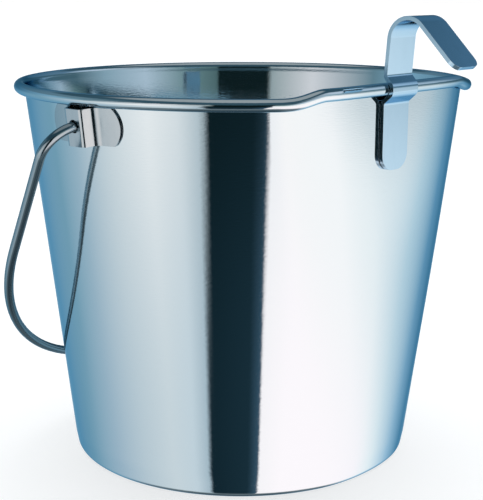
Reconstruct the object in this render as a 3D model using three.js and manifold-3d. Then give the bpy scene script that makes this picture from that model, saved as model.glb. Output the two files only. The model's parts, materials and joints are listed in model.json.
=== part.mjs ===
// Feed bucket: a drawn stainless steel pail with one flat side, a rolled rim, a wire bail
// and a strap hook that hangs it on a rail.
//
// Units are millimetres and +Z is up. The origin is the centre of the base's underside.
// The flat side and the hook face +Y, and the bail pivots about an axis parallel to X.

import * as THREE from "three";
import { mergeVertices } from "three/addons/utils/BufferGeometryUtils.js";
import Module from "manifold-3d";

// ---- Pail shell ----
const HEIGHT = 250; // base underside to the top of the rim, on the round side
const RIM_RADIUS = 149.3; // outside of the rolled rim
const BASE_RADIUS = 114; // outside of the wall at the base
const SHEET = 1; // thickness of the drawn sheet
const BEAD_RADIUS = 3.7; // outside of the rolled rim's own section
const BEAD_END = -120; // degrees round the rim's section where the sheet's edge ends
const BASE_CORNER = 4; // outer radius between the base and the wall

// ---- Flat side ----
const FLAT_DISTANCE = 123.4; // pail axis to the outside of the flat
const FLAT_BLEND = 18; // width over which the flat runs into the round wall
const FLAT_LIFT = 4.3; // how much higher the rim stands along the flat
const LIFT_DEPTH = 8; // how far the wall is pressed in where the lift is complete
const RIM_SHIFT = 3.4; // the round part of the rim sits this far towards the flat
const RIM_OVAL = 0.01; // the rim is this much wider across the ears
const FLAT_SIDE_COSINE = 0.1; // the flat can reach the wall where the cosine from +Y is above this

// ---- Ears: hat-section brackets welded under the rim ----
const EAR_HEIGHT = 22;
const EAR_TOP = 242.2;
const EAR_Y = 9; // ears and bail pivot sit a little towards the flat
const EAR_SHEET = 1.8;
const EAR_FACE_X = 151.4; // outside of the hat's face, level with the bail's hole
const EAR_FACE_WIDTH = 13;
const EAR_FLANK_RUN = 3; // how far each flank leans sideways between face and wall
const EAR_SPAN = 55; // over the ends of the two flanges
const EAR_END_RADIUS = 14.5; // the rounded end of each flange, seen from the side
const EAR_HOLE_RADIUS = 3.9;

// ---- Bail ----
const PIVOT_Z = 231.1;
const WIRE_RADIUS = 3;
const BAIL_HANG = 55.8; // degrees below level, where the bail lies against the wall
const BAIL_ARC_RADIUS = 157.8; // the grip, on the wire's centre line
const BAIL_ARC_CENTRE = 74.2; // pivot axis to the centre of the grip's arc
const BAIL_TAPER = 8.2; // degrees by which each leg leans in
const BAIL_BEND_RADIUS = 19; // where the leg turns into the ear
const HEAD_RADIUS = 4.8; // upset end of the wire, held inside the ear
const HEAD_THICKNESS = 2;
const HEAD_X = 145; // inner end of the head

// ---- Hook: a bent strap, seen from the side as distance from the axis and height ----
const STRAP_WIDTH = 25.5;
const STRAP_THICKNESS = 2.5;
const STRAP_BOTTOM = 201.5;
const STRAP_BEND_RADIUS = 3.5; // the bends that carry the strap round the rim
const FOOT_CORNER = 10; // rounded corners at the strap's lower end
const TIP_CORNER = 6; // and at the hook's tip
const HOOK_CROWN_RADIUS = 12.8; // on the strap's centre line
const HOOK_CROWN_Y = 141.1; // centre of the crown
const HOOK_CROWN_Z = 279.1;
const HOOK_LEAN = 4.5; // degrees by which the upright leans out
const HOOK_TIP_ANGLE = 45; // degrees below level
const HOOK_TIP_LENGTH = 33.5;

const GAP = 0.3; // left between pieces that touch or are welded

// ---- Fineness ----
const AROUND = 84;
const WALL_STEPS = 7;
const BEAD_STEPS = 9;
const CORNER_STEPS = 3;
const WIRE_SIDES = 12;
const WIRE_STEPS = 126;
const BEND_STEPS = 5;
const OUTLINE_STEPS = 8; // round corners and ends of flat outlines
const HOLE_SIDES = 16;
const MERGE_DISTANCE = 1e-4;

const STEEL_POLISHED = { color: 0xc9d6dd, roughness: 0.12, metalness: 1 };
const STEEL_SATIN = { color: 0xb9c4c9, roughness: 0.32, metalness: 1 };
const STEEL_WIRE = { color: 0x9fa9ae, roughness: 0.25, metalness: 1 };

const WALL_TOP_RADIUS = RIM_RADIUS - 2 * BEAD_RADIUS + SHEET;
const BEAD_Z = HEIGHT - BEAD_RADIUS;
const radians = THREE.MathUtils.degToRad;

const wasm = await Module();
wasm.setup();

// ---- Helpers ----

function solid(geometry) {
  const bare = geometry.clone();
  bare.deleteAttribute("normal");
  bare.deleteAttribute("uv");
  const merged = mergeVertices(bare, MERGE_DISTANCE);
  return new wasm.Manifold(
    new wasm.Mesh({
      numProp: 3,
      vertProperties: new Float32Array(merged.attributes.position.array),
      triVerts: new Uint32Array(merged.index.array),
    })
  );
}

function geometryOf(manifold) {
  const mesh = manifold.getMesh();
  const geometry = new THREE.BufferGeometry();
  geometry.setAttribute("position", new THREE.BufferAttribute(mesh.vertProperties, 3));
  geometry.setIndex(new THREE.BufferAttribute(mesh.triVerts, 1));
  geometry.computeVertexNormals();
  return geometry;
}

function piece(name, geometry, finish) {
  const mesh = new THREE.Mesh(geometry, new THREE.MeshStandardMaterial(finish));
  mesh.name = name;
  return mesh;
}

// Points on a polyline whose inner corners are rounded; each corner is [x, y, radius].
function roundedLine(corners) {
  const points = [];
  corners.forEach(([x, y, radius], i) => {
    const here = new THREE.Vector2(x, y);
    if (!radius) {
      points.push(here);
      return;
    }
    const before = new THREE.Vector2(...corners[i - 1]).sub(here).normalize();
    const after = new THREE.Vector2(...corners[i + 1]).sub(here).normalize();
    const half = Math.acos(THREE.MathUtils.clamp(before.dot(after), -1, 1)) / 2;
    const middle = before.clone().add(after).normalize();
    const centre = here.clone().addScaledVector(middle, radius / Math.sin(half));
    const start = here.clone().addScaledVector(before, radius / Math.tan(half)).sub(centre);
    const end = here.clone().addScaledVector(after, radius / Math.tan(half)).sub(centre);
    const turn = Math.atan2(start.cross(end), start.dot(end));
    for (let step = 0; step <= BEND_STEPS; step++) {
      const spoke = start.clone().rotateAround(new THREE.Vector2(), (turn * step) / BEND_STEPS);
      points.push(spoke.add(centre));
    }
  });
  return points;
}

// The section of a bent sheet: a line thickened by the same amount on both sides.
function sheetSection(line, thickness) {
  const normals = line.map((_, i) => {
    const before = line[Math.max(i - 1, 0)];
    const after = line[Math.min(i + 1, line.length - 1)];
    const along = after.clone().sub(before).normalize();
    return new THREE.Vector2(-along.y, along.x);
  });
  const side = (sign) =>
    line.map((point, i) => point.clone().addScaledVector(normals[i], (sign * thickness) / 2));
  return new THREE.Shape([...side(1), ...side(-1).reverse()]);
}

function extrude(shape, depth) {
  const geometry = new THREE.ExtrudeGeometry(shape, {
    depth,
    bevelEnabled: false,
    curveSegments: OUTLINE_STEPS,
  });
  return geometry.translate(0, 0, -depth / 2);
}

// A shape drawn as (Y, Z) and extruded along X.
function extrudeAcross(shape, width) {
  return extrude(shape, width).rotateX(Math.PI / 2).rotateZ(Math.PI / 2);
}

// ---- Pail ----

function smoothMin(a, b, width) {
  const share = THREE.MathUtils.clamp(0.5 + (0.5 * (b - a)) / width, 0, 1);
  return b * (1 - share) + a * share - width * share * (1 - share);
}

function wallRadius(z) {
  return BASE_RADIUS + (WALL_TOP_RADIUS - BASE_RADIUS) * Math.min(z / BEAD_Z, 1);
}

// Turns a point of the round pail, at an angle from +Y, into one of the flat-sided pail.
function pressFlat(radius, angle, z) {
  if (radius < SHEET) return { radius, z };
  const rise = z / HEIGHT;
  const outward = radius - wallRadius(z);
  const oval = 1 + RIM_OVAL * rise * Math.sin(angle) ** 2;
  const round = wallRadius(z) * oval + RIM_SHIFT * rise * Math.cos(angle) + outward;
  if (Math.cos(angle) <= FLAT_SIDE_COSINE) return { radius: round, z };
  const flat = (FLAT_DISTANCE + outward) / Math.cos(angle);
  const pressed = smoothMin(round, flat, FLAT_BLEND);
  const lift = FLAT_LIFT * THREE.MathUtils.smoothstep(round - pressed, 0, LIFT_DEPTH);
  return { radius: pressed, z: z * (1 + lift / HEIGHT) };
}

function arc(x, z, radius, from, to, steps) {
  return Array.from({ length: steps + 1 }, (_, i) => {
    const angle = radians(from + ((to - from) * i) / steps);
    return new THREE.Vector2(x + radius * Math.cos(angle), z + radius * Math.sin(angle));
  });
}

function wallLine(inward, fromZ, toZ) {
  const points = [];
  for (let i = 1; i < WALL_STEPS; i++) {
    const z = fromZ + ((toZ - fromZ) * i) / WALL_STEPS;
    points.push(new THREE.Vector2(wallRadius(z) - inward, z));
  }
  return points;
}

function pailProfile() {
  const beadX = WALL_TOP_RADIUS - SHEET + BEAD_RADIUS;
  const cornerX = BASE_RADIUS - BASE_CORNER;
  const inner = BEAD_RADIUS - SHEET;
  return [
    new THREE.Vector2(0, 0),
    ...arc(cornerX, BASE_CORNER, BASE_CORNER, -90, 0, CORNER_STEPS),
    ...wallLine(0, BASE_CORNER, BEAD_Z),
    ...arc(beadX, BEAD_Z, inner, 180, BEAD_END, BEAD_STEPS),
    ...arc(beadX, BEAD_Z, BEAD_RADIUS, BEAD_END, 180, BEAD_STEPS),
    ...wallLine(SHEET, BEAD_Z, BASE_CORNER),
    ...arc(cornerX, BASE_CORNER, BASE_CORNER - SHEET, 0, -90, CORNER_STEPS),
    new THREE.Vector2(0, SHEET),
  ];
}

function pailGeometry() {
  const geometry = new THREE.LatheGeometry(pailProfile(), AROUND).rotateX(Math.PI / 2);
  const position = geometry.attributes.position;
  for (let i = 0; i < position.count; i++) {
    const [x, y] = [position.getX(i), position.getY(i)];
    const angle = Math.atan2(x, y);
    const moved = pressFlat(Math.hypot(x, y), angle, position.getZ(i));
    position.setXYZ(i, moved.radius * Math.sin(angle), moved.radius * Math.cos(angle), moved.z);
  }
  return geometry;
}

// ---- Ears ----

// The round part of the wall is centred here at the height of the pivot.
const EAR_CENTRE_Y = (RIM_SHIFT * PIVOT_Z) / HEIGHT;
const EAR_TURN = Math.asin((EAR_Y - EAR_CENTRE_Y) / EAR_FACE_X);

// An ear on the +X side: a hat section bent round the wall and tilted to lie along it.
function earGeometry() {
  const wall = pressFlat(wallRadius(PIVOT_Z), Math.PI / 2, PIVOT_Z).radius;
  const flangeRadius = wall + GAP + EAR_SHEET / 2;
  const faceX = EAR_FACE_X - EAR_SHEET / 2;
  const footY = EAR_FACE_WIDTH / 2 + EAR_FLANK_RUN;
  const flange = (y, radius) => [Math.sqrt(flangeRadius ** 2 - y ** 2), y, radius];
  const half = [
    flange(EAR_SPAN / 2, 0),
    flange((EAR_SPAN / 2 + footY) / 2, 0),
    flange(footY, EAR_SHEET),
    [faceX, EAR_FACE_WIDTH / 2, EAR_SHEET],
  ];
  const otherHalf = half.map(([x, y, radius]) => [x, -y, radius]).reverse();
  const hat = extrude(sheetSection(roundedLine([...half, ...otherHalf]), EAR_SHEET), EAR_HEIGHT);

  const endCentre = EAR_SPAN / 2 - EAR_END_RADIUS;
  const reach = Math.asin(EAR_HEIGHT / 2 / EAR_END_RADIUS);
  const outline = new THREE.Shape()
    .absarc(endCentre, 0, EAR_END_RADIUS, -reach, reach, false)
    .absarc(-endCentre, 0, EAR_END_RADIUS, Math.PI - reach, Math.PI + reach, false);
  const trim = extrudeAcross(outline, EAR_SPAN).translate(EAR_FACE_X, 0, 0);

  const lean = Math.atan2(WALL_TOP_RADIUS - BASE_RADIUS, BEAD_Z);
  const ear = geometryOf(solid(hat).intersect(solid(trim)));
  ear.translate(-wall, 0, 0).rotateY(lean).translate(wall, 0, EAR_TOP - EAR_HEIGHT / 2);
  const drill = new THREE.CylinderGeometry(EAR_HOLE_RADIUS, EAR_HOLE_RADIUS, 3 * EAR_SHEET, HOLE_SIDES);
  drill.rotateZ(Math.PI / 2).translate(faceX, 0, PIVOT_Z);
  return geometryOf(solid(ear).subtract(solid(drill)));
}

function ear(name, turn) {
  const mesh = piece(name, earGeometry(), STEEL_SATIN);
  mesh.position.y = EAR_CENTRE_Y;
  mesh.rotation.z = turn;
  return mesh;
}

// ---- Bail ----

// A flat curve laid in the bail's plane: across is X, and down runs away from the pivot.
class BailCurve extends THREE.Curve {
  constructor(outline) {
    super();
    this.outline = outline;
  }

  getPoint(t, target = new THREE.Vector3()) {
    const point = this.outline.getPoint(t);
    const hang = radians(BAIL_HANG);
    return target.set(
      point.x,
      EAR_Y - point.y * Math.cos(hang),
      PIVOT_Z - point.y * Math.sin(hang)
    );
  }
}

function bailOutline() {
  const taper = radians(BAIL_TAPER);
  const legTop = BAIL_ARC_RADIUS / Math.cos(taper) + BAIL_ARC_CENTRE * Math.tan(taper);
  const bendX = legTop - BAIL_BEND_RADIUS * Math.tan((Math.PI / 2 + taper) / 2);
  // Across is x and down is y, so a growing angle turns from across towards down.
  return new THREE.Path()
    .moveTo(HEAD_X, 0)
    .lineTo(bendX, 0)
    .absarc(bendX, BAIL_BEND_RADIUS, BAIL_BEND_RADIUS, -Math.PI / 2, taper, false)
    .absarc(0, BAIL_ARC_CENTRE, BAIL_ARC_RADIUS, taper, Math.PI - taper, false)
    .absarc(-bendX, BAIL_BEND_RADIUS, BAIL_BEND_RADIUS, Math.PI - taper, Math.PI * 1.5, false)
    .lineTo(-HEAD_X, 0);
}

function bailGeometry() {
  const section = new THREE.Shape().absarc(0, 0, WIRE_RADIUS, 0, Math.PI * 2, false);
  const wire = new THREE.ExtrudeGeometry(section, {
    steps: WIRE_STEPS,
    curveSegments: WIRE_SIDES / 2,
    extrudePath: new BailCurve(bailOutline()),
  });
  let bail = solid(wire);
  for (const sign of [-1, 1]) {
    const head = new THREE.CylinderGeometry(HEAD_RADIUS, HEAD_RADIUS, HEAD_THICKNESS, WIRE_SIDES);
    head.rotateZ(Math.PI / 2);
    head.translate(sign * (HEAD_X + HEAD_THICKNESS / 2), EAR_Y, PIVOT_Z);
    bail = bail.add(solid(head));
  }
  return geometryOf(bail);
}

// ---- Hook ----

function hookLine() {
  const lowerY = FLAT_DISTANCE + GAP + STRAP_THICKNESS / 2;
  const swellY = lowerY - SHEET + 2 * BEAD_RADIUS;
  const rimTop = HEIGHT + FLAT_LIFT;
  const rimBottom = rimTop - 2 * BEAD_RADIUS;
  const tipAngle = radians(-HOOK_TIP_ANGLE);
  const tip = new THREE.Vector2(Math.cos(tipAngle), Math.sin(tipAngle));
  const crown = arc(
    HOOK_CROWN_Y,
    HOOK_CROWN_Z,
    HOOK_CROWN_RADIUS,
    180 - HOOK_LEAN,
    90 - HOOK_TIP_ANGLE,
    2 * BEND_STEPS
  );
  const uprightZ = rimTop + STRAP_BEND_RADIUS;
  const uprightY = crown[0].x - (crown[0].y - uprightZ) * Math.tan(radians(HOOK_LEAN));
  const leg = roundedLine([
    [lowerY, STRAP_BOTTOM, 0],
    [lowerY, rimBottom - STRAP_BEND_RADIUS - SHEET, STRAP_BEND_RADIUS],
    [swellY, rimBottom + SHEET, STRAP_BEND_RADIUS],
    [swellY, rimTop - STRAP_BEND_RADIUS / 2, STRAP_BEND_RADIUS],
    [uprightY, uprightZ, STRAP_BEND_RADIUS],
    [crown[0].x, crown[0].y, 0],
  ]);
  leg.pop();
  return [...leg, ...crown, crown.at(-1).clone().addScaledVector(tip, HOOK_TIP_LENGTH)];
}

// What a rounded corner leaves of a square one, on the +X side of an end that faces +Y.
function cornerWaste(radius) {
  const half = STRAP_WIDTH / 2;
  const shape = new THREE.Shape()
    .moveTo(half, -radius)
    .absarc(half - radius, -radius, radius, 0, Math.PI / 2, false)
    .lineTo(half - radius, GAP)
    .lineTo(half + GAP, GAP)
    .lineTo(half + GAP, -radius);
  return extrude(shape, 2 * STRAP_THICKNESS);
}

function hookGeometry() {
  const line = hookLine();
  let hook = solid(extrudeAcross(sheetSection(line, STRAP_THICKNESS), STRAP_WIDTH));
  const ends = [
    { at: line[0], slope: -Math.PI / 2, corner: FOOT_CORNER },
    { at: line.at(-1), slope: -radians(HOOK_TIP_ANGLE), corner: TIP_CORNER },
  ];
  for (const { at, slope, corner } of ends) {
    for (const side of [0, Math.PI]) {
      const waste = cornerWaste(corner).rotateY(side).rotateX(slope).translate(0, at.x, at.y);
      hook = hook.subtract(solid(waste));
    }
  }
  return geometryOf(hook);
}

// ---- Assembly ----

const group = new THREE.Group();
group.add(piece("pail_body", pailGeometry(), STEEL_POLISHED));
group.add(ear("ear_right", EAR_TURN));
group.add(ear("ear_left", Math.PI - EAR_TURN));
group.add(piece("bail_handle", bailGeometry(), STEEL_WIRE));
group.add(piece("hanging_hook", hookGeometry(), STEEL_SATIN));

export default group;
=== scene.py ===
"""Feed bucket: fine meshes, metal finishes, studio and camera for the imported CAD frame.

Metres, +Z up. The flat side and the hook face +Y, and the bail pivots about an axis parallel
to X. The driving sizes repeat those of the CAD model, except that the ears are bent from
thinner sheet, and each piece is laid on its CAD node.
"""

import json
import math

import bpy
import numpy as np
from mathutils import Matrix, Vector


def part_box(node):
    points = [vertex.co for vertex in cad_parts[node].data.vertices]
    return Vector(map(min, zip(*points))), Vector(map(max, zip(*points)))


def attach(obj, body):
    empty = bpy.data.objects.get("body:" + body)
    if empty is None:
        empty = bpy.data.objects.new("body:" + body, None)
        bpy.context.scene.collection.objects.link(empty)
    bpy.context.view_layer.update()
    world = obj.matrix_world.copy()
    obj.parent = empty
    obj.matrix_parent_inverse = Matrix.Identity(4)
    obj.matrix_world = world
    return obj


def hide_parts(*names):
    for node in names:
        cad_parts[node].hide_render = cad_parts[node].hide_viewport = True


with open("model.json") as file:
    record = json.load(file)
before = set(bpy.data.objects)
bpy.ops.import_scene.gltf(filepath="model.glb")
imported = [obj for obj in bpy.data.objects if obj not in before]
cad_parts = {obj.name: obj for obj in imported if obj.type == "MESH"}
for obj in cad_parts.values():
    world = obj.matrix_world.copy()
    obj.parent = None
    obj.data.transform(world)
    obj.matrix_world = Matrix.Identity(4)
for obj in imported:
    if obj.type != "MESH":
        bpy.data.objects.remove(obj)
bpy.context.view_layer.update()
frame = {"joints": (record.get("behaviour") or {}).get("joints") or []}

# ---- Pail shell ----
HEIGHT = 0.250  # base underside to the top of the rim, on the round side
RIM_RADIUS = 0.1493  # outside of the rolled rim
BASE_RADIUS = 0.114  # outside of the wall at the base
SHEET = 0.001
BEAD_RADIUS = 0.0037  # outside of the rolled rim's own section
BEAD_END = -120  # degrees round the rim's section where the sheet's edge ends
BASE_CORNER = 0.004  # outer radius between the base and the wall
FLARE_DEPTH = 0.0072  # the wall starts to turn out this far below the rim's top
FLARE_OUT = 0.00012  # and is this much slimmer there than a straight cone

WALL_TOP_RADIUS = RIM_RADIUS - 2 * BEAD_RADIUS + SHEET
BEAD_Z = HEIGHT - BEAD_RADIUS

# ---- Flat side ----
FLAT_DISTANCE = 0.1234  # pail axis to the outside of the flat
FLAT_BLEND = 0.018  # width over which the flat runs into the round wall
FLAT_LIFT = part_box("pail_body")[1].z - HEIGHT  # how much higher the rim stands along the flat
LIFT_DEPTH = 0.008  # how far the wall is pressed in where the lift is complete
RIM_SHIFT = 0.0034  # the round part of the rim sits this far towards the flat
RIM_OVAL = 0.01  # the rim is this much wider across the ears, as a share
FLAT_SIDE_COSINE = 0.1  # the flat can reach the wall where the cosine from +Y is above this

# ---- Ears ----
PIVOT = Vector(frame["joints"][0]["pos_m"])
EAR_HEIGHT = 0.022
EAR_TOP = 0.2422
EAR_SHEET = 0.0012
EAR_FACE_X = 0.1514  # outside of the hat's face, level with the bail's hole
EAR_FACE_WIDTH = 0.013
EAR_FLANK_RUN = 0.003  # how far each flank leans sideways between face and wall
EAR_FACE_BEND = 0.0024
EAR_FOOT_BEND = 0.007
EAR_FOOT_LEAD = 0.8  # the flange runs straight this far before its bend, in bend radii
EAR_SPAN = 0.055  # over the ends of the two flanges
EAR_END_RADIUS = 0.0145  # the rounded end of each flange, seen from the side
EAR_HOLE_RADIUS = 0.0039

EAR_CENTRE_Y = RIM_SHIFT * PIVOT.z / HEIGHT
EAR_TURN = math.asin((PIVOT.y - EAR_CENTRE_Y) / EAR_FACE_X)

# ---- Bail ----
WIRE_RADIUS = 0.003
BAIL_HANG = math.radians(55.8)  # below level, where the bail lies against the wall
BAIL_ARC_RADIUS = 0.1578  # the grip, on the wire's centre line
BAIL_ARC_CENTRE = 0.0742  # pivot axis to the centre of the grip's arc
BAIL_TAPER = math.radians(8.2)  # by which each leg leans in
BAIL_BEND_RADIUS = 0.019  # where the leg turns into the ear
HEAD_RADIUS = 0.0048  # upset end of the wire, held inside the ear
HEAD_THICKNESS = 0.002
HEAD_EDGE = 0.0005
HEAD_X = 0.145  # inner end of the head

# ---- Hook ----
STRAP_WIDTH = 0.0255
STRAP_THICKNESS = 0.0025
STRAP_BEND_RADIUS = 0.0035  # the bends that carry the strap round the rim
FOOT_CORNER = 0.010  # rounded corners at the strap's lower end
TIP_CORNER = 0.006  # and at the hook's tip
HOOK_CROWN_RADIUS = 0.0128  # on the strap's centre line
HOOK_CROWN_Y = 0.1411
HOOK_CROWN_Z = 0.2791
HOOK_LEAN = 4.5  # degrees by which the upright leans out
HOOK_TIP_ANGLE = 45  # degrees below level
HOOK_TIP_LENGTH = 0.0335

GAP = 0.0003  # between each ear and the wall

# ---- Fineness ----
AROUND = 480
WALL_STEPS = 40
FLARE_STEPS = 8
FLOOR_STEPS = 8
BEAD_STEPS = 28
CORNER_STEPS = 8
BEND_STEPS = 10
GRIP_STEPS = 90
LEG_STEPS = 19
RUN_STEPS = 5  # of wire between the last bend and the head
HEAD_STEPS = 4
CROWN_STEPS = 30
STRAP_COLUMNS = 7
WIRE_SIDES = 28
HOLE_SIDES = 48
EDGE_BREAK = 0.0003  # radius on the edges of the cut strip and sheet
EDGE_SEGMENTS = 3
EDGE_ANGLE = math.radians(40)  # a sharper turn than this is an edge
SMALLEST = 1e-9  # keeps a normal finite where two points of a line coincide

# ---- View and studio ----
CAMERA_AZIMUTH = math.radians(132.38)
CAMERA_ELEVATION = math.radians(13.33)
CAMERA_DISTANCE = 0.82095
CAMERA_ROLL = math.radians(0.115)
CAMERA_LENS = 88.85
CAMERA_SHIFT = (0.0031, 0.0205)
STUDIO_RADIUS = 15
SUN_STRENGTH = 2.6
SUN_SPREAD = math.radians(70)
SUN_TURN = (math.radians(12), math.radians(-14), 0)


# ---- Mesh helpers ----

def new_object(name, vertices, faces):
    mesh = bpy.data.meshes.new(name)
    mesh.from_pydata([tuple(v) for v in vertices], [], faces)
    mesh.validate()
    mesh.update()
    mesh.shade_smooth()
    made = bpy.data.objects.new(name, mesh)
    bpy.context.scene.collection.objects.link(made)
    return made


def ring_faces(rows, count):
    """Quads between consecutive closed rings of count vertices each."""
    faces = []
    for row in range(rows - 1):
        for i in range(count):
            j = (i + 1) % count
            low, high = row * count, (row + 1) * count
            faces.append((low + i, low + j, high + j, high + i))
    return faces


def tube_faces(rows, count):
    """Closed rings joined into a tube, with a cap on the first and the last."""
    last = (rows - 1) * count
    caps = [tuple(range(count))[::-1], tuple(range(last, last + count))]
    return [*ring_faces(rows, count), *caps]


def arc(x, y, radius, start, end, steps):
    """Points round a centre, from start to end in degrees."""
    angles = np.radians(np.linspace(start, end, steps + 1))
    return [np.array((x + radius * math.cos(a), y + radius * math.sin(a))) for a in angles]


def rounded_line(corners):
    """A polyline whose inner corners are rounded; each corner is (x, y, radius)."""
    points = []
    for i, (x, y, radius) in enumerate(corners):
        here = np.array((x, y))
        if not radius:
            points.append(here)
            continue
        before = np.array(corners[i - 1][:2]) - here
        after = np.array(corners[i + 1][:2]) - here
        before /= np.linalg.norm(before)
        after /= np.linalg.norm(after)
        half = math.acos(np.clip(before @ after, -1, 1)) / 2
        middle = (before + after) / np.linalg.norm(before + after)
        centre = here + middle * radius / math.sin(half)
        start = here + before * radius / math.tan(half) - centre
        end = here + after * radius / math.tan(half) - centre
        turn = math.atan2(start[0] * end[1] - start[1] * end[0], start @ end)
        for step in range(BEND_STEPS + 1):
            a = turn * step / BEND_STEPS
            spun = (
                start[0] * math.cos(a) - start[1] * math.sin(a),
                start[0] * math.sin(a) + start[1] * math.cos(a),
            )
            points.append(centre + np.array(spun))
    return points


def line_normals(line):
    """The left-hand normal at each point of a polyline."""
    along = np.gradient(np.array(line), axis=0)
    along /= np.maximum(np.linalg.norm(along, axis=1), SMALLEST)[:, None]
    return np.stack([-along[:, 1], along[:, 0]], axis=1)


def sheet_solid(name, front, back):
    """A closed sheet from two equal grids of points, [row][column], a thickness apart."""
    rows, columns = len(front), len(front[0])
    count = rows * columns
    vertices = [p for grid in (front, back) for row in grid for p in row]
    faces = []
    for r in range(rows - 1):
        for c in range(columns - 1):
            a = r * columns + c
            faces.append((a, a + 1, a + columns + 1, a + columns))
            faces.append(tuple(count + k for k in (a, a + columns, a + columns + 1, a + 1)))
    border = list(range(columns))
    border += [r * columns + columns - 1 for r in range(1, rows)]
    border += [(rows - 1) * columns + c for c in range(columns - 2, -1, -1)]
    border += [r * columns for r in range(rows - 2, 0, -1)]
    for a, b in zip(border, border[1:] + border[:1]):
        faces.append((b, a, count + a, count + b))
    return new_object(name, vertices, faces)


def break_edges(piece):
    """Rounds a cut piece's edges, keeps its flat faces flat and applies all its modifiers."""
    bevel = piece.modifiers.new("edges", "BEVEL")
    bevel.width = EDGE_BREAK
    bevel.segments = EDGE_SEGMENTS
    bevel.limit_method = "ANGLE"
    bevel.angle_limit = EDGE_ANGLE
    piece.modifiers.new("flats", "WEIGHTED_NORMAL")
    evaluated = piece.evaluated_get(bpy.context.evaluated_depsgraph_get())
    mesh = bpy.data.meshes.new_from_object(evaluated)
    piece.modifiers.clear()
    piece.data = mesh
    return piece


# ---- Pail ----

def smooth_step(value, start, end):
    """0 at start, 1 at end, smooth between."""
    t = np.clip((value - start) / (end - start), 0, 1)
    return t * t * (3 - 2 * t)


def smooth_min(a, b, width):
    """The lesser of a and b, rounded off where they are within a width of each other."""
    share = min(max(0.5 + 0.5 * (b - a) / width, 0), 1)
    return b * (1 - share) + a * share - width * share * (1 - share)


def wall_radius(z):
    """Outside of the straight cone at a height."""
    return BASE_RADIUS + (WALL_TOP_RADIUS - BASE_RADIUS) * min(z / BEAD_Z, 1)


def press_flat(radius, angle, z):
    """Turns a point of the round pail, at an angle from +Y, into one of the flat-sided pail."""
    if radius < SHEET:
        return radius, z
    rise = z / HEIGHT
    outward = radius - wall_radius(z)
    oval = 1 + RIM_OVAL * rise * math.sin(angle) ** 2
    round_side = wall_radius(z) * oval + RIM_SHIFT * rise * math.cos(angle) + outward
    if math.cos(angle) <= FLAT_SIDE_COSINE:
        return round_side, z
    flat_side = (FLAT_DISTANCE + outward) / math.cos(angle)
    pressed = smooth_min(round_side, flat_side, FLAT_BLEND)
    lift = FLAT_LIFT * smooth_step(round_side - pressed, 0, LIFT_DEPTH)
    return pressed, z * (1 + lift / HEIGHT)


def pail_profile():
    """Radius and height along the sheet: under the base, up the outside, round the bead,
    down the inside and in along the floor."""
    bead_x = WALL_TOP_RADIUS - SHEET + BEAD_RADIUS
    corner_x = BASE_RADIUS - BASE_CORNER
    flare_z = HEIGHT - FLARE_DEPTH
    heights = [
        *np.linspace(BASE_CORNER, flare_z, WALL_STEPS + 1)[1:-1],
        *np.linspace(flare_z, BEAD_Z, FLARE_STEPS + 1)[:-1],
    ]
    across = np.linspace(0, corner_x, FLOOR_STEPS + 1)[1:-1]

    def wall(inward):
        """The wall is a little slimmer than a straight cone, and turns out to meet the bead."""
        slimmer = [
            FLARE_OUT * min(z / flare_z, 1) * (1 - smooth_step(z, flare_z, BEAD_Z))
            for z in heights
        ]
        return [np.array((wall_radius(z) - inward - s, z)) for z, s in zip(heights, slimmer)]

    return [
        *(np.array((r, 0)) for r in across),
        *arc(corner_x, BASE_CORNER, BASE_CORNER, -90, 0, CORNER_STEPS),
        *wall(0),
        *arc(bead_x, BEAD_Z, BEAD_RADIUS - SHEET, 180, BEAD_END, BEAD_STEPS),
        *arc(bead_x, BEAD_Z, BEAD_RADIUS, BEAD_END, 180, BEAD_STEPS),
        *reversed(wall(SHEET)),
        *arc(corner_x, BASE_CORNER, BASE_CORNER - SHEET, 0, -90, CORNER_STEPS),
        *(np.array((r, SHEET)) for r in reversed(across)),
    ]


def make_pail():
    profile = pail_profile()
    angles = [-2 * math.pi * i / AROUND for i in range(AROUND)]
    vertices = []
    for radius, z in profile:
        for angle in angles:
            pressed, height = press_flat(radius, angle, z)
            vertices.append((pressed * math.sin(angle), pressed * math.cos(angle), height))
    faces = ring_faces(len(profile), AROUND)
    for z, first, order in ((0, 0, -1), (SHEET, (len(profile) - 1) * AROUND, 1)):
        centre = len(vertices)
        vertices.append((0, 0, z))
        for i in range(AROUND):
            faces.append((centre, first + i, first + (i + 1) % AROUND)[::order])
    return new_object("polished_pail", vertices, faces)


# ---- Ears ----

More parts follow.
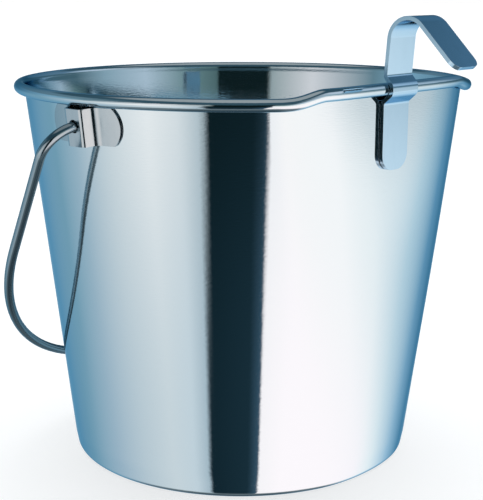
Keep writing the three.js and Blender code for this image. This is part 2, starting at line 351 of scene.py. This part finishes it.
def make_ear(name, turn):
    """A hat section bent round the wall, made on the +X side and turned into place."""
    wall = press_flat(wall_radius(PIVOT.z), math.pi / 2, PIVOT.z)[0]
    flange_radius = wall + GAP + EAR_SHEET / 2
    face_x = EAR_FACE_X - EAR_SHEET / 2
    foot_y = EAR_FACE_WIDTH / 2 + EAR_FLANK_RUN
    bend_end = foot_y + EAR_FOOT_LEAD * EAR_FOOT_BEND

    def flange_x(y):
        return math.sqrt(flange_radius**2 - y**2)

    bends = rounded_line([
        (flange_x(bend_end), bend_end, 0),
        (flange_x(foot_y), foot_y, EAR_FOOT_BEND),
        (face_x, EAR_FACE_WIDTH / 2, EAR_FACE_BEND),
        (face_x, 0, 0),
    ])
    front, back = [], []
    for v in np.linspace(-EAR_HEIGHT / 2, EAR_HEIGHT / 2, 2 * BEND_STEPS + 1):
        end = EAR_SPAN / 2 - EAR_END_RADIUS + math.sqrt(EAR_END_RADIUS**2 - v**2)
        flange = [np.array((flange_x(y), y)) for y in np.linspace(end, bend_end, BEND_STEPS)]
        half = [*flange[:-1], *bends]
        line = [*half, *(p * (1, -1) for p in reversed(half[:-1]))]
        offset = line_normals(line) * EAR_SHEET / 2
        front.append([(*(p + o), v) for p, o in zip(line, offset)])
        back.append([(*(p - o), v) for p, o in zip(line, offset)])
    ear = sheet_solid(name, front, back)

    lean = math.atan2(WALL_TOP_RADIUS - BASE_RADIUS, BEAD_Z)
    ear.data.transform(
        Matrix.Translation((wall, 0, EAR_TOP - EAR_HEIGHT / 2))
        @ Matrix.Rotation(lean, 4, "Y")
        @ Matrix.Translation((-wall, 0, 0))
    )
    drill_points = [
        (x, EAR_HOLE_RADIUS * math.cos(a), PIVOT.z + EAR_HOLE_RADIUS * math.sin(a))
        for x in (face_x - 2 * EAR_SHEET, face_x + 2 * EAR_SHEET)
        for a in (2 * math.pi * i / HOLE_SIDES for i in range(HOLE_SIDES))
    ]
    drill = new_object(name + "_drill", drill_points, tube_faces(2, HOLE_SIDES))
    hole = ear.modifiers.new("hole", "BOOLEAN")
    hole.operation = "DIFFERENCE"
    hole.object = drill
    break_edges(ear)
    bpy.data.objects.remove(drill)
    ear.data.transform(Matrix.Translation((0, EAR_CENTRE_Y, 0)) @ Matrix.Rotation(turn, 4, "Z"))
    return ear


# ---- Bail ----

def bail_half():
    """Across, down and wire radius from the middle of the grip to the head in one ear."""
    leg_top = BAIL_ARC_RADIUS / math.cos(BAIL_TAPER) + BAIL_ARC_CENTRE * math.tan(BAIL_TAPER)
    bend_x = leg_top - BAIL_BEND_RADIUS * math.tan((math.pi / 2 + BAIL_TAPER) / 2)
    taper = math.degrees(BAIL_TAPER)
    grip = arc(0, BAIL_ARC_CENTRE, BAIL_ARC_RADIUS, 90, taper, GRIP_STEPS)
    bend = arc(bend_x, BAIL_BEND_RADIUS, BAIL_BEND_RADIUS, taper, -90, 3 * BEND_STEPS)
    leg = [grip[-1] + (bend[0] - grip[-1]) * t for t in np.linspace(0, 1, LEG_STEPS + 1)[1:-1]]
    neck = HEAD_X + HEAD_THICKNESS
    run = [np.array((x, 0)) for x in np.linspace(bend_x, neck + HEAD_EDGE, RUN_STEPS + 1)[1:]]
    wire = [(*p, WIRE_RADIUS) for p in [*grip, *leg, *bend, *run]]
    rim = HEAD_RADIUS - HEAD_EDGE
    outside = arc(neck - HEAD_EDGE, rim, HEAD_EDGE, 0, 90, HEAD_STEPS)
    inside = arc(HEAD_X + HEAD_EDGE, rim, HEAD_EDGE, 90, 180, HEAD_STEPS)
    head = [(x, 0, radius) for x, radius in [*outside, *inside]]
    return [*wire, (neck, 0, WIRE_RADIUS), *head, (HEAD_X, 0, HEAD_EDGE)]


def make_bail():
    half = bail_half()
    path = [*((-x, down, radius) for x, down, radius in reversed(half[1:])), *half]
    flat = np.array([(x, down) for x, down, _ in path])
    radii = np.array([radius for _, _, radius in path])
    level = flat[:, 1] == 0
    normals = np.where(level[:, None], (0, -1), line_normals(flat))
    across = np.array((1, 0, 0))
    downward = np.array((0, -math.cos(BAIL_HANG), -math.sin(BAIL_HANG)))
    sideways = np.cross(across, downward)
    vertices = []
    for (x, down), normal, radius in zip(flat, normals, radii):
        centre = np.array(PIVOT) + x * across + down * downward
        in_plane = normal[0] * across + normal[1] * downward
        for i in range(WIRE_SIDES):
            a = 2 * math.pi * i / WIRE_SIDES
            vertices.append(centre + radius * (math.cos(a) * in_plane + math.sin(a) * sideways))
    return new_object("wire_bail", vertices, tube_faces(len(path), WIRE_SIDES))


# ---- Hook ----

def hook_line():
    """The strap's centre line as distance from the pail's axis and height."""
    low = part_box("hanging_hook")[0]
    lower_y = low.y + STRAP_THICKNESS / 2
    swell_y = lower_y - SHEET + 2 * BEAD_RADIUS
    rim_top = HEIGHT + FLAT_LIFT
    rim_bottom = rim_top - 2 * BEAD_RADIUS
    crown_end = 90 - HOOK_TIP_ANGLE
    crown = arc(
        HOOK_CROWN_Y, HOOK_CROWN_Z, HOOK_CROWN_RADIUS, 180 - HOOK_LEAN, crown_end, CROWN_STEPS
    )
    upright_z = rim_top + STRAP_BEND_RADIUS
    upright_y = crown[0][0] - (crown[0][1] - upright_z) * math.tan(math.radians(HOOK_LEAN))
    leg = rounded_line([
        (lower_y, low.z, 0),
        (lower_y, rim_bottom - STRAP_BEND_RADIUS - SHEET, STRAP_BEND_RADIUS),
        (swell_y, rim_bottom + SHEET, STRAP_BEND_RADIUS),
        (swell_y, rim_top - STRAP_BEND_RADIUS / 2, STRAP_BEND_RADIUS),
        (upright_y, upright_z, STRAP_BEND_RADIUS),
        (*crown[0], 0),
    ])
    tip_angle = math.radians(-HOOK_TIP_ANGLE)
    tip = crown[-1] + HOOK_TIP_LENGTH * np.array((math.cos(tip_angle), math.sin(tip_angle)))
    return [*leg[:-1], *crown, tip]


def corner_inset(distance, radius):
    """How far a rounded corner pulls the side in, at a distance from the strap's end."""
    reach = max(radius - distance, 0)
    return radius - math.sqrt(radius**2 - reach**2)


def make_hook():
    line = np.array(hook_line())
    lengths = np.concatenate([[0], np.cumsum(np.linalg.norm(np.diff(line, axis=0), axis=1))])
    total = lengths[-1]
    quarter = 1 - np.cos(np.linspace(0, math.pi / 2, BEND_STEPS + 1))
    stops = np.concatenate([
        FOOT_CORNER * quarter,
        lengths[(lengths > FOOT_CORNER) & (lengths < total - TIP_CORNER)],
        total - TIP_CORNER * quarter[::-1],
    ])
    centres = np.stack([np.interp(stops, lengths, line[:, k]) for k in (0, 1)], axis=1)
    offsets = line_normals(centres) * STRAP_THICKNESS / 2
    front, back = [], []
    for s, centre, offset in zip(stops, centres, offsets):
        inset = max(corner_inset(s, FOOT_CORNER), corner_inset(total - s, TIP_CORNER))
        half = STRAP_WIDTH / 2 - inset
        xs = np.linspace(-half, half, STRAP_COLUMNS)
        front.append([(x, *(centre + offset)) for x in xs])
        back.append([(x, *(centre - offset)) for x in xs])
    return break_edges(sheet_solid("strap_hook", front, back))


# ---- Materials ----

class Finish:
    """A metal whose bump and roughness come from noise in the piece's own coordinates."""

    def __init__(self, name, color, edge_tint, anisotropy):
        self.material = bpy.data.materials.new(name)
        self.material.use_nodes = True
        self.nodes = self.material.node_tree.nodes
        self.links = self.material.node_tree.links
        self.shader = self.nodes["Principled BSDF"]
        self.shader.inputs["Base Color"].default_value = (*color, 1)
        self.shader.inputs["Metallic"].default_value = 1
        self.shader.inputs["Specular Tint"].default_value = (*edge_tint, 1)
        self.shader.inputs["Anisotropic"].default_value = anisotropy
        self.place = self.nodes.new("ShaderNodeTexCoord").outputs["Object"]
        self.normal = None

    def noise(self, scale, detail=4.0):
        """Noise stretched by a scale along X, Y and Z, in features per metre."""
        mapping = self.nodes.new("ShaderNodeMapping")
        mapping.inputs["Scale"].default_value = scale
        self.links.new(self.place, mapping.inputs["Vector"])
        noise = self.nodes.new("ShaderNodeTexNoise")
        noise.inputs["Scale"].default_value = 1
        noise.inputs["Detail"].default_value = detail
        noise.inputs["Roughness"].default_value = 0.6
        self.links.new(mapping.outputs["Vector"], noise.inputs["Vector"])
        return noise.outputs["Fac"]

    def spread(self, noise, low, high):
        """Spreads the middle of a noise's range, where nearly all of it lies, from low to high."""
        spread = self.nodes.new("ShaderNodeMapRange")
        spread.inputs["From Min"].default_value = 0.3
        spread.inputs["From Max"].default_value = 0.7
        spread.inputs["To Min"].default_value = low
        spread.inputs["To Max"].default_value = high
        self.links.new(noise, spread.inputs["Value"])
        return spread.outputs["Result"]

    def bump(self, height, distance):
        """Adds relief, a distance in metres deep, on top of what is there."""
        bump = self.nodes.new("ShaderNodeBump")
        bump.inputs["Strength"].default_value = 1
        bump.inputs["Distance"].default_value = distance
        self.links.new(height, bump.inputs["Height"])
        if self.normal:
            self.links.new(self.normal, bump.inputs["Normal"])
        self.normal = bump.outputs["Normal"]
        self.links.new(self.normal, self.shader.inputs["Normal"])

    def roughness(self, value):
        self.links.new(value, self.shader.inputs["Roughness"])

    def brush_round_z(self):
        """Brushing that runs round the Z axis, which spreads reflections up and down."""
        tangent = self.nodes.new("ShaderNodeTangent")
        tangent.direction_type = "RADIAL"
        tangent.axis = "Z"
        self.links.new(tangent.outputs["Tangent"], self.shader.inputs["Tangent"])
        self.shader.inputs["Anisotropic Rotation"].default_value = 0.25


def polished_steel():
    """The shell: slow waves left by drawing it, and fine lines round it from polishing."""
    finish = Finish("polished steel", (0.86, 0.89, 0.9), (0.3, 0.55, 0.7), 0.8)
    finish.brush_round_z()
    finish.bump(finish.noise((14, 14, 9), detail=1), 0.00002)
    finish.bump(finish.noise((250, 250, 1500), detail=2), 0.00002)
    finish.roughness(finish.spread(finish.noise((30, 30, 700)), 0.035, 0.075))
    return finish.material


def satin_steel():
    """The ears: satin sheet with short upright lines."""
    finish = Finish("satin steel", (0.66, 0.67, 0.68), (0.6, 0.7, 0.75), 0.6)
    finish.brush_round_z()
    finish.bump(finish.noise((900, 900, 60), detail=3), 0.000002)
    finish.roughness(finish.spread(finish.noise((300, 300, 120)), 0.13, 0.22))
    return finish.material


def wire_steel():
    """The bail: drawn wire with a faint unevenness all over."""
    finish = Finish("wire steel", (0.45, 0.5, 0.52), (0.4, 0.5, 0.55), 0.3)
    finish.bump(finish.noise((120, 120, 120), detail=2), 0.00001)
    finish.roughness(finish.spread(finish.noise((400, 400, 400)), 0.08, 0.18))
    return finish.material


def strip_steel():
    """The hook: bright strip with fine lines along it from rolling."""
    finish = Finish("strip steel", (0.66, 0.82, 0.94), (0.5, 0.65, 0.75), 0.3)
    finish.bump(finish.noise((1500, 40, 40), detail=3), 0.000002)
    finish.roughness(finish.spread(finish.noise((200, 80, 80)), 0.1, 0.18))
    return finish.material


# ---- Studio ----

# What the metal reflects: one list for each band of elevation, from the lowest up, by angle in
# degrees to the right of the camera. A dark gap lies behind the camera, a bright screen to its
# right, a softer one to its left and blue beyond them.
FLOOR_LIGHT = [
    (-180, (0.38, 0.55, 0.68)),
    (-130, (0.22, 0.42, 0.54)),
    (-95, (0.37, 0.51, 0.62)),
    (-70, (0.53, 0.64, 0.71)),
    (-48, (0.64, 0.73, 0.78)),
    (-32, (0.6, 0.71, 0.78)),
    (-21.5, (0.4, 0.52, 0.6)),
    (-20.8, (0.006, 0.02, 0.03)),
    (6, (0.01, 0.03, 0.045)),
    (13, (0.04, 0.09, 0.14)),
    (14, (1.06, 1.02, 1.04)),
    (30, (1.13, 1.06, 1.09)),
    (96, (1.13, 1.06, 1.09)),
    (108, (1, 1.05, 1.06)),
    (125, (0.55, 0.75, 0.9)),
    (150, (0.25, 0.45, 0.6)),
    (180, (0.38, 0.55, 0.68)),
]
LOW_LIGHT = [
    (-180, (0.38, 0.55, 0.68)),
    (-145, (0.32, 0.51, 0.64)),
    (-120, (0.22, 0.41, 0.52)),
    (-100, (0.35, 0.5, 0.6)),
    (-75, (0.66, 0.74, 0.78)),
    (-50, (0.93, 0.95, 0.96)),
    (-34, (0.79, 0.83, 0.85)),
    (-18.7, (0.44, 0.54, 0.59)),
    (-18, (0.003, 0.01, 0.012)),
    (11, (0.003, 0.01, 0.012)),
    (14.5, (0.04, 0.08, 0.11)),
    (15.5, (0.92, 0.95, 0.97)),
    (40, (1.04, 1.03, 1.03)),
    (88, (1.04, 1.04, 1.05)),
    (100, (0.93, 0.98, 1)),
    (111, (0.54, 0.72, 0.82)),
    (129, (0.17, 0.38, 0.55)),
    (145, (0.14, 0.32, 0.45)),
    (180, (0.38, 0.55, 0.68)),
]
HIGH_LIGHT = [
    (-180, (0.05, 0.12, 0.17)),
    (-105, (0.2, 0.4, 0.55)),
    (-80, (0.13, 0.24, 0.3)),
    (-40, (0.68, 0.7, 0.74)),
    (-14.5, (0.3, 0.38, 0.4)),
    (-13.8, (0.004, 0.012, 0.014)),
    (16, (0.004, 0.012, 0.014)),
    (17, (0.08, 0.15, 0.16)),
    (34, (0.14, 0.25, 0.27)),
    (60, (0.42, 0.55, 0.66)),
    (87, (0.24, 0.38, 0.47)),
    (110, (0.06, 0.13, 0.17)),
    (180, (0.05, 0.12, 0.17)),
]
SKY_LIGHT = [
    (-180, (0.1, 0.2, 0.28)),
    (-90, (0.12, 0.22, 0.28)),
    (-45, (0.035, 0.08, 0.11)),
    (50, (0.035, 0.08, 0.11)),
    (92, (0.5, 0.62, 0.74)),
    (108, (0.4, 0.54, 0.68)),
    (125, (0.1, 0.2, 0.3)),
    (180, (0.1, 0.2, 0.28)),
]
NADIR = (0.05, 0.08, 0.1)
BELOW = (0.14, 0.19, 0.22)
SKY = (0.035, 0.085, 0.12)
OVERHEAD = (0.3, 0.35, 0.38)


def toward_camera():
    return Vector((math.sin(CAMERA_AZIMUTH), -math.cos(CAMERA_AZIMUTH), 0))


def light_screen(nodes, links, turn, stops):
    """A colour ramp over the angle round the camera's direction."""
    ramp = nodes.new("ShaderNodeValToRGB")
    elements = ramp.color_ramp.elements
    elements.remove(elements[0])
    for i, (angle, color) in enumerate(stops):
        place = angle / 360 + 0.5
        element = elements[0] if i == 0 else elements.new(place)
        element.position = place
        element.color = (*color, 1)
    links.new(turn, ramp.inputs["Fac"])
    return ramp.outputs["Color"]


def make_world():
    world = bpy.data.worlds.new("studio")
    bpy.context.scene.world = world
    world.use_nodes = True
    nodes, links = world.node_tree.nodes, world.node_tree.links
    direction = nodes.new("ShaderNodeTexCoord").outputs["Generated"]
    ahead = toward_camera()
    right = Vector((0, 0, 1)).cross(ahead)

    def component(axis):
        dot = nodes.new("ShaderNodeVectorMath")
        dot.operation = "DOT_PRODUCT"
        dot.inputs[1].default_value = axis
        links.new(direction, dot.inputs[0])
        return dot.outputs["Value"]

    def math_node(operation, first, second):
        node = nodes.new("ShaderNodeMath")
        node.operation = operation
        for socket, value in zip(node.inputs, (first, second)):
            if isinstance(value, (int, float)):
                socket.default_value = value
            else:
                links.new(value, socket)
        return node.outputs["Value"]

    def above(start, end):
        """0 below an elevation of start degrees, 1 above end, smooth between."""
        share = nodes.new("ShaderNodeMapRange")
        share.interpolation_type = "SMOOTHSTEP"
        share.inputs["From Min"].default_value = math.sin(math.radians(start))
        share.inputs["From Max"].default_value = math.sin(math.radians(end))
        links.new(component((0, 0, 1)), share.inputs["Value"])
        return share.outputs["Result"]

    def blend(share, low, high):
        mix = nodes.new("ShaderNodeMix")
        mix.data_type = "RGBA"
        links.new(share, mix.inputs["Factor"])
        for socket, value in ((mix.inputs["A"], low), (mix.inputs["B"], high)):
            if isinstance(value, tuple):
                socket.default_value = (*value, 1)
            else:
                links.new(value, socket)
        return mix.outputs["Result"]

    angle = math_node("ARCTAN2", component(right), component(ahead))
    turn = math_node("ADD", math_node("DIVIDE", angle, 2 * math.pi), 0.5)
    color = blend(above(-80, -66), NADIR, BELOW)
    color = blend(above(-60, -45), color, light_screen(nodes, links, turn, FLOOR_LIGHT))
    color = blend(above(-36, -14), color, light_screen(nodes, links, turn, LOW_LIGHT))
    color = blend(above(-12, 5), color, light_screen(nodes, links, turn, HIGH_LIGHT))
    color = blend(above(10, 16), color, light_screen(nodes, links, turn, SKY_LIGHT))
    color = blend(above(30, 38), color, SKY)
    color = blend(above(50, 62), color, OVERHEAD)
    links.new(color, nodes["Background"].inputs["Color"])


def hide_from_metal(thing):
    """The metal doesn't reflect this, so its reflections come from the studio's light alone."""
    thing.visible_glossy = False


def stage_material(name, grey, glow):
    """A matt material of a grey, with a white glow of its own."""
    material = bpy.data.materials.new(name)
    material.use_nodes = True
    shader = material.node_tree.nodes["Principled BSDF"]
    shader.inputs["Base Color"].default_value = (grey, grey, grey, 1)
    shader.inputs["Roughness"].default_value = 1
    shader.inputs["Specular IOR Level"].default_value = 0
    shader.inputs["Emission Color"].default_value = (1, 1, 1, 1)
    shader.inputs["Emission Strength"].default_value = glow
    return material


def make_stage():
    """A pale floor and a pale backdrop all round it."""
    r = STUDIO_RADIUS
    floor = new_object("floor", [(-r, -r, 0), (r, -r, 0), (r, r, 0), (-r, r, 0)], [(0, 1, 2, 3)])
    floor.data.materials.append(stage_material("floor", 0.4, 0.7))
    bpy.ops.mesh.primitive_uv_sphere_add(radius=r, segments=64, ring_count=32)
    backdrop = bpy.context.object
    backdrop.name = "backdrop"
    backdrop.data.materials.append(stage_material("backdrop", 0, 1))
    backdrop.visible_diffuse = False
    backdrop.visible_shadow = False
    for thing in (floor, backdrop):
        hide_from_metal(thing)


def make_lights():
    """One wide soft light from above, for the floor."""
    data = bpy.data.lights.new("overhead", "SUN")
    data.energy = SUN_STRENGTH
    data.angle = SUN_SPREAD
    light = bpy.data.objects.new("overhead", data)
    light.rotation_euler = SUN_TURN
    bpy.context.scene.collection.objects.link(light)
    hide_from_metal(light)


def make_camera():
    data = bpy.data.cameras.new("camera")
    data.sensor_fit = "HORIZONTAL"
    data.sensor_width = 36
    data.lens = CAMERA_LENS
    data.shift_x, data.shift_y = CAMERA_SHIFT
    data.clip_end = 2 * STUDIO_RADIUS
    camera = bpy.data.objects.new("camera", data)
    level = math.cos(CAMERA_ELEVATION)
    back = toward_camera() * level + Vector((0, 0, math.sin(CAMERA_ELEVATION)))
    look = (-back).to_track_quat("-Z", "Y").to_matrix().to_4x4()
    place = Matrix.Translation(Vector((0, 0, HEIGHT / 2)) + back * CAMERA_DISTANCE)
    camera.matrix_world = place @ look @ Matrix.Rotation(CAMERA_ROLL, 4, "Z")
    bpy.context.scene.collection.objects.link(camera)
    bpy.context.scene.camera = camera
    bpy.context.scene.view_settings.view_transform = "Standard"


# ---- Scene ----

def put(piece, node, body, material):
    """Gives a piece its material and lays it on its CAD node."""
    piece.data.materials.clear()
    piece.data.materials.append(material)
    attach(piece, body)
    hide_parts(node)


make_camera()
make_world()
make_stage()
make_lights()

satin = satin_steel()
put(make_pail(), "pail_body", "pail", polished_steel())
put(make_ear("satin_ear_right", EAR_TURN), "ear_right", "pail", satin)
put(make_ear("satin_ear_left", math.pi - EAR_TURN), "ear_left", "pail", satin)
put(make_bail(), "bail_handle", "bail", wire_steel())
put(make_hook(), "hanging_hook", "pail", strip_steel())
